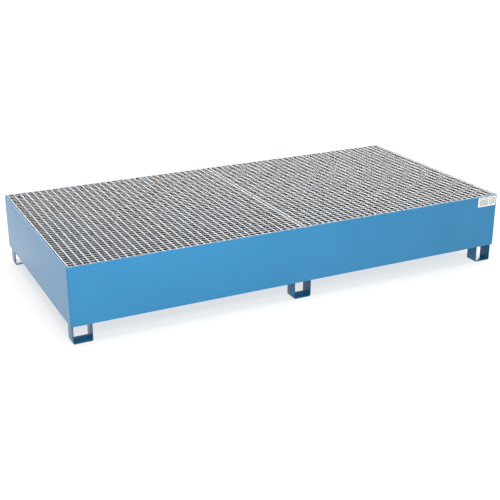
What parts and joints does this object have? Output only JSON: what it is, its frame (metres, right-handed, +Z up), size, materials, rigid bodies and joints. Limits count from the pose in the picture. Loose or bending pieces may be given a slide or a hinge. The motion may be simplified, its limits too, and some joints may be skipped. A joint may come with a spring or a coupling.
{
  "type": "spill containment pallet",
  "caption": "Long shallow steel basin on low bent feet, covered by lift-out bar gratings that carry containers over the space that catches leaks.",
  "frame": {"origin": "on the floor, under the centre of the basin", "axes": "+X along the basin's length to the right, -Y the front with the rating plate, +Z up"},
  "size_m": [2.65, 1.3005, 0.42],
  "materials": {
    "paint": "satin powder coat, medium blue",
    "zinc": "hot-dip galvanised, light grey with faint spangle",
    "label": "white self-adhesive film, blank"
  },
  "bodies": {
    "basin": {"base_plate": "paint", "front_wall": "paint", "rear_wall": "paint", "left_end_wall": "paint", "right_end_wall": "paint", "corner_seams": "paint", "left_ledge": "paint", "right_ledge": "paint", "front_ledge": "paint", "rear_ledge": "paint", "left_beam": "paint", "centre_beam": "paint", "right_beam": "paint", "foot_front_left": "paint", "foot_front_middle": "paint", "foot_front_right": "paint", "foot_rear_left": "paint", "foot_rear_middle": "paint", "foot_rear_right": "paint", "rating_plate": "label"},
    "left_grating": {"left_bearing_bars": "zinc", "left_cross_rods": "zinc", "left_outer_band": "zinc", "left_inner_band": "zinc"},
    "right_grating": {"right_bearing_bars": "zinc", "right_cross_rods": "zinc", "right_outer_band": "zinc", "right_inner_band": "zinc"}
  },
  "joints": [
    {"name": "left_grating_lift", "type": "slide", "parent": "basin", "child": "left_grating", "axis": [0, 0, 1], "range_m": [0, 0.3]},
    {"name": "right_grating_lift", "type": "slide", "parent": "basin", "child": "right_grating", "axis": [0, 0, 1], "range_m": [0, 0.3]}
  ]
}
